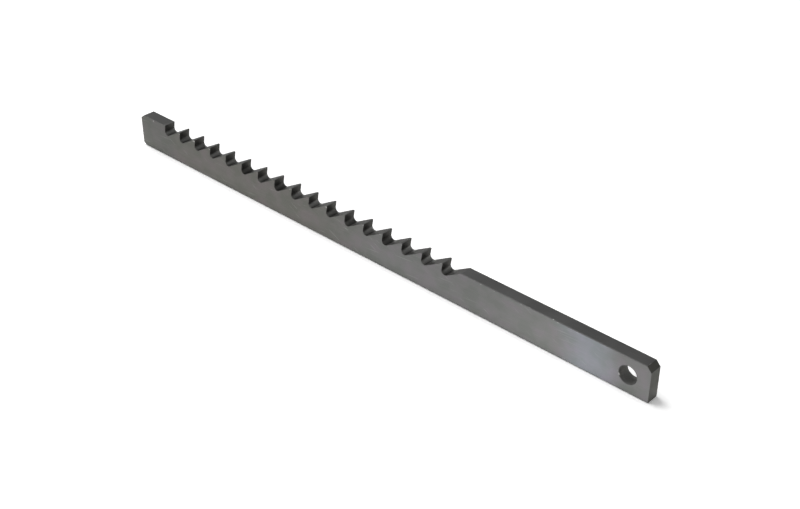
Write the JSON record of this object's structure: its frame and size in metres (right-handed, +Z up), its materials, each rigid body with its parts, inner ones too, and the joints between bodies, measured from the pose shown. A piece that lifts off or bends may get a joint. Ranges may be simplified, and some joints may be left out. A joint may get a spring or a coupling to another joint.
{
  "type": "keyway broach",
  "caption": "Flat steel keyway broach with a row of hooked cutting teeth along its top edge, a solid rear pad, a plain shank and a cross hole for the puller's pin.",
  "frame": {"origin": "on the sole, the narrow bottom edge, at the middle of the bar's length and thickness", "axes": "+X along the bar from the rear pad to the pull end, which enters the work first; +Y across the thickness, along the pull hole; +Z up, from the sole to the teeth"},
  "size_m": [0.2982, 0.006, 0.0168],
  "materials": {
    "tool_steel": "ground, dark and dull"
  },
  "bodies": {
    "root": {"broach": "tool_steel"}
  },
  "joints": []
}
